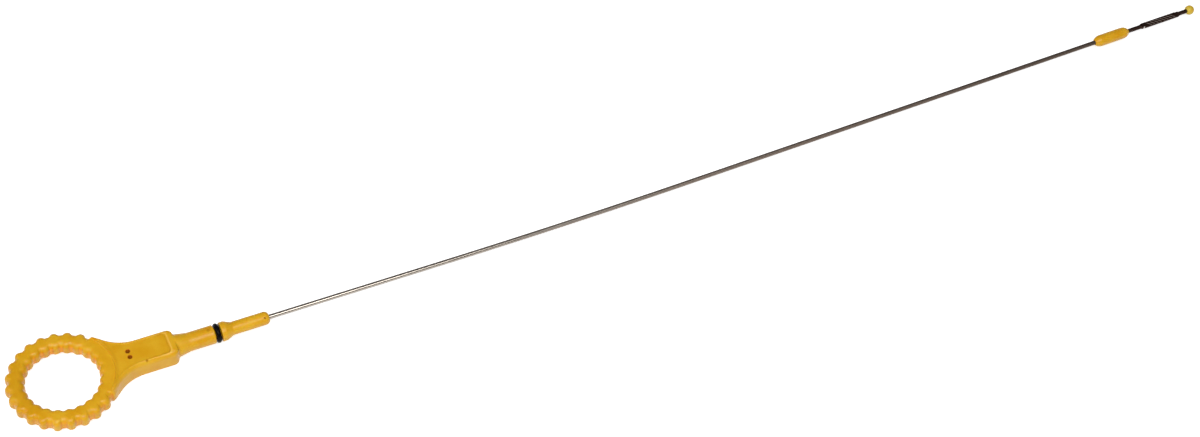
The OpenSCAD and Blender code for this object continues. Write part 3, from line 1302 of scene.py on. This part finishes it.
@dataclass
class Wire:
    """The steel wire, pressed flat into a gauge blade with stamped lines before the tip."""

    route: WireRoute
    radius: float = 1.15
    start: float = -73.0
    end: float = 554.5
    blade_start: float = 518.5
    blade_length: float = 27.2
    blade_half_w: float = 1.7
    blade_half_t: float = 0.65
    shoulder: float = 2.0
    squareness: float = 7.0
    hatch_lines: int = 8
    hatch_w: float = 0.55
    hatch_depth: float = 0.16
    hatch_angle: float = math.radians(50.0)
    hatch_length: float = 4.4
    hatch_margin: float = 2.4
    hatch_floor: float = 0.2
    hatch_slope: float = 0.4
    # hatch_shine and notch_shine set the painted highlight on the stamped lines and notches
    hatch_shine: float = 0.16
    notch_from_end: float = 2.0
    notch_r: float = 0.5
    notch_shine: float = 0.6
    top_share: float = 0.8
    least_flatness: float = 0.99
    long_step: float = 2.5
    blade_step: float = 0.1
    beside_blade: float = 1.0
    end_sections: int = 6
    around: int = 96
    sharp_angle: float = 50.0

    def stations(self) -> Array:
        """Chooses where the wire has a section: far apart, and close together on the blade.

        Returns:
            Lengths from the nose's end.
        """
        first = self.blade_start - self.beside_blade
        last = self.blade_start + self.blade_length + self.beside_blade
        return np.concatenate([
            np.arange(self.start, first, self.long_step),
            np.arange(first, last, self.blade_step),
            np.linspace(last, self.end, self.end_sections),
        ])

    def flatness(self, along: Array) -> Array:
        """How far the section has changed from round to flat, by a soft step at each shoulder.

        Args:
            along: lengths from the nose's end.

        Returns:
            From 0 to 1 at each length.
        """
        up = smooth_step((along - self.blade_start) / self.shoulder)
        down = smooth_step((self.blade_start + self.blade_length - along) / self.shoulder)
        return np.minimum(up, down)

    def notch(self, along: Array, centre: float) -> Array:
        """Depth of a half-round notch whose middle is at a length centre."""
        return np.sqrt(np.clip(self.notch_r**2 - (along - centre)**2, 0.0, None))

    def hatch(self, along: Array, side: Array) -> Array:
        """Depth of the stamped lines, which slant across the flat: a soft-edged step at each.

        Args:
            along: lengths from the nose's end.
            side: distances from the wire's line.

        Returns:
            The depth at each point, zero between the lines.
        """
        first = self.blade_start + self.shoulder + self.hatch_margin
        span = self.blade_length - 2.0 * (self.shoulder + self.hatch_margin)
        centres = first + (np.arange(self.hatch_lines) + 0.5) * span / self.hatch_lines
        gap = along[..., None] - centres
        cos, sin = math.cos(self.hatch_angle), math.sin(self.hatch_angle)
        across, length = gap * sin + side[..., None] * cos, gap * cos - side[..., None] * sin
        line = 1.0 - smooth_step((np.abs(across) - self.hatch_w * self.hatch_floor)
                                 / (self.hatch_w * self.hatch_slope))
        line = line * (np.abs(length) < self.hatch_length / 2.0)
        return self.hatch_depth * line.max(axis=-1)

    def build(self, material: bpy.types.Material) -> bpy.types.Object:
        """Builds the wire.

        A section reaches, along each angle, as far as the cosine and the sine of that angle make
        it when both are raised to a power, summed, and the root taken. The power grows from two,
        which is round, to the squareness of the blade. The points of the notches and of the
        stamped lines store a painted highlight: how far the steel is lightened there.

        Args:
            material: the steel.

        Returns:
            The wire.
        """
        along = self.stations()[:, None]
        ray = (np.arange(self.around) + 0.5) / self.around * TURN
        flat = self.flatness(along)
        power = 2.0 + (self.squareness - 2.0) * flat
        half_w = self.radius + (self.blade_half_w - self.radius) * flat
        half_t = self.radius + (self.blade_half_t - self.radius) * flat
        cos, sin = np.cos(ray), np.sin(ray)
        reach = (np.abs(cos)**power + np.abs(sin)**power) ** (-1.0 / power)
        side, height = half_w * reach * cos, half_t * reach * sin
        blade_end = self.blade_start + self.blade_length
        near = self.notch(along, self.blade_start + self.notch_from_end)
        far = self.notch(along, blade_end - self.notch_from_end)
        # points on the notches, which take a painted highlight
        in_notch = (near > 0.0) & (side < near - half_w) | (far > 0.0) & (side > half_w - far)
        side = np.clip(side, -half_w + near, half_w - far)
        along_all = along + 0.0 * side
        top = (height > self.top_share * half_t) & (flat > self.least_flatness)
        line = np.where(top, self.hatch(along_all, side), 0.0)
        loops = self.route.carry(np.stack([along_all, side, height - line], axis=-1))
        obj = lofted("gauge_wire", loops)
        # painted highlight on the notches and stamped lines
        painted_glint = np.maximum(self.notch_shine * in_notch, self.hatch_shine * line / self.hatch_depth)
        store(obj.data, "cut", painted_glint.ravel())
        sharpen(obj, self.sharp_angle)
        dress(obj, material, "wire")
        return obj


@dataclass
class GuideBead:
    """The bead moulded on the wire, domed at both ends to a small flat face."""

    route: WireRoute
    start: float = 487.7
    length: float = 22.3
    radius: float = 3.2
    dome_r: float = 5.6
    face_r: float = 1.5
    dome_points: int = 20
    around: int = 96
    sharp_angle: float = 50.0

    def build(self, material: bpy.types.Material) -> bpy.types.Object:
        """Builds the bead: a straight flank between two domes of one radius.

        Args:
            material: the nylon.

        Returns:
            The bead.
        """
        hub = self.radius - self.dome_r
        limit = math.asin((self.face_r - hub) / self.dome_r)
        turn = np.linspace(limit, 0.5 * math.pi, self.dome_points)
        depth = self.dome_r * math.cos(limit)
        dome = np.column_stack([self.start + depth - self.dome_r * np.cos(turn),
                                hub + self.dome_r * np.sin(turn)])
        other = dome[::-1] * [-1.0, 1.0] + [2.0 * self.start + self.length, 0.0]
        outline = np.concatenate([[[self.start, AXIS_GAP]], dome, other,
                                  [[self.start + self.length, AXIS_GAP]]])
        obj = turned("guide_bead_moulding", outline, self.around, self.route.carry)
        sharpen(obj, self.sharp_angle)
        dress(obj, material, "guide_bead")
        return obj


@dataclass
class TipBall:
    """The ball moulded on the wire's end, with a flat where the wire goes in."""

    route: WireRoute
    face_at: float = 550.6
    radius: float = 2.7
    face_r: float = 1.5
    pole_gap: float = 0.01
    arc_points: int = 48
    around: int = 72
    sharp_angle: float = 45.0

    def build(self, material: bpy.types.Material) -> bpy.types.Object:
        """Builds the ball: a circle's arc from the flat face almost to the far pole, turned.

        Args:
            material: the nylon in the ball's colour.

        Returns:
            The ball.
        """
        limit = math.asin(self.face_r / self.radius)
        centre = self.face_at + self.radius * math.cos(limit)
        turn = np.linspace(limit, math.pi - self.pole_gap, self.arc_points)
        arc = np.column_stack([centre - self.radius * np.cos(turn), self.radius * np.sin(turn)])
        outline = np.concatenate([[[self.face_at, AXIS_GAP]], arc])
        obj = turned("tip_ball_moulding", outline, self.around, self.route.carry)
        sharpen(obj, self.sharp_angle)
        dress(obj, material, "tip_ball")
        return obj


def dress(obj: bpy.types.Object, material: bpy.types.Material, node: str) -> None:
    """Gives a piece its material, and says which node it stands for.

    Args:
        obj: the piece.
        material: its material.
        node: the node that it stands for.
    """
    obj.data.materials.clear()
    obj.data.materials.append(material)
    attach(obj, "root")
    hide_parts(node)
    LOG.info("%s: %d points, stands for %s", obj.name, len(obj.data.vertices), node)


# ---------------------------------------------------------------- the studio


@dataclass(frozen=True)
class Lamp:
    """A rectangular soft lamp, placed and sized in metres, which faces a point."""

    name: str
    at: Triple
    size: Pair
    watts: float
    toward: Triple = (0.1, 0.0, 0.0)

    def hang(self) -> None:
        """Hangs the lamp, with its side the product of the Y axis and its way back."""
        data = bpy.data.lights.new(self.name, "AREA")
        data.shape = "RECTANGLE"
        data.size, data.size_y = self.size
        data.energy = self.watts
        way = np.array(self.at) - np.array(self.toward)
        back = way / np.linalg.norm(way)
        side = np.cross((0.0, 1.0, 0.0), back)
        side /= np.linalg.norm(side)
        aim(placed(self.name, data), self.at, (side, np.cross(back, side), back))


@dataclass
class Studio:
    """Camera, floor and soft lamps, placed in metres in the part's frame."""

    camera_at: Triple = (-0.1876, -0.6579, 0.9537)
    right: Triple = (0.90477, -0.41801, 0.08155)
    up: Triple = (0.28286, 0.73295, 0.61868)
    back: Triple = (-0.31839, -0.5367, 0.7814)
    lens_mm: float = 71.6
    sensor_mm: float = 36.0
    clip_end: float = 50.0
    floor_z: float = -0.0059
    floor_half: float = 5.0
    floor_colour: str = "F2F2F2"
    floor_glow: float = 0.62
    room_colour: str = "9A9A9C"
    room_strength: float = 0.6
    backdrop: str = "FFFFFF"
    lamps: tuple[Lamp, ...] = (
        Lamp("key", (-0.32, -0.92, 1.78), (2.1, 1.0), 41.0),
        Lamp("side", (-1.6, 0.2, 1.0), (1.0, 1.0), 6.0),
    )

    def camera(self) -> None:
        """Places the camera, from its three axes as they were fitted to the photograph."""
        data = bpy.data.cameras.new("camera")
        data.lens = self.lens_mm
        data.sensor_width = self.sensor_mm
        data.sensor_fit = "HORIZONTAL"
        data.clip_end = self.clip_end
        obj = placed("camera", data)
        aim(obj, self.camera_at, (self.right, self.up, self.back))
        bpy.context.scene.camera = obj

    def floor(self) -> None:
        """Lays the pale floor. It is white to the camera and in reflections, and keeps shadows."""
        half = self.floor_half / MM
        corners = np.array([[-half, -half], [half, -half], [half, half], [-half, half]])
        points = np.column_stack([corners, np.full(4, self.floor_z / MM)])
        obj = mesh_object("floor", points, [[0, 1, 2, 3]])
        material, tree = empty_material("pale_floor")
        ray = add(tree, "ShaderNodeLightPath")
        seen = ray.outputs["Is Camera Ray"]
        for other in ("Is Glossy Ray", "Is Transmission Ray"):
            seen = add(tree, "ShaderNodeMath", {"operation": "MAXIMUM"},
                       {0: seen, 1: ray.outputs[other]}).outputs[0]
        glow = add(tree, "ShaderNodeMath", {"operation": "MULTIPLY", 1: self.floor_glow},
                   {0: seen})
        matt = add(tree, "ShaderNodeBsdfDiffuse", {"Color": linear(self.floor_colour)})
        light = add(tree, "ShaderNodeEmission", links={"Strength": glow.outputs[0]})
        both = add(tree, "ShaderNodeAddShader", links={0: matt.outputs[0], 1: light.outputs[0]})
        add(tree, "ShaderNodeOutputMaterial", links={"Surface": both.outputs[0]})
        obj.data.materials.append(material)

    def world(self) -> None:
        """Fills the room with a dim even light. The camera sees it white past the floor's edge."""
        world = bpy.data.worlds.new("room")
        world.use_nodes = True
        tree = world.node_tree
        tree.nodes.clear()
        ray = add(tree, "ShaderNodeLightPath")
        dim = add(tree, "ShaderNodeBackground",
                  {"Color": linear(self.room_colour), "Strength": self.room_strength})
        white = add(tree, "ShaderNodeBackground", {"Color": linear(self.backdrop)})
        mixed = add(tree, "ShaderNodeMixShader",
                    links={0: ray.outputs["Is Camera Ray"], 1: dim.outputs[0],
                           2: white.outputs[0]})
        add(tree, "ShaderNodeOutputWorld", links={"Surface": mixed.outputs[0]})
        bpy.context.scene.world = world

    def build(self) -> None:
        """Lays the floor, lights it and sets the plain view."""
        self.floor()
        self.world()
        for lamp in self.lamps:
            lamp.hang()
        bpy.context.scene.view_settings.view_transform = "Standard"


def main() -> None:
    """Builds the studio and the dipstick in order."""
    logging.basicConfig(level=logging.INFO, format="%(name)s: %(message)s")
    studio = Studio()
    studio.camera()
    nylon = MouldedNylon("moulded_nylon", Tint.HANDLE).material()
    lemon = MouldedNylon("moulded_nylon_tip", Tint.TIP, pale="D9BE46", deep="BE9420").material()
    steel = DrawnSteel().material()
    rubber = NitrileRubber().material()
    route = WireRoute()
    Handle().build(nylon)
    SealRing().build(rubber)
    Wire(route).build(steel)
    GuideBead(route).build(nylon)
    TipBall(route).build(lemon)
    studio.build()


if __name__ == "__main__":
    main()
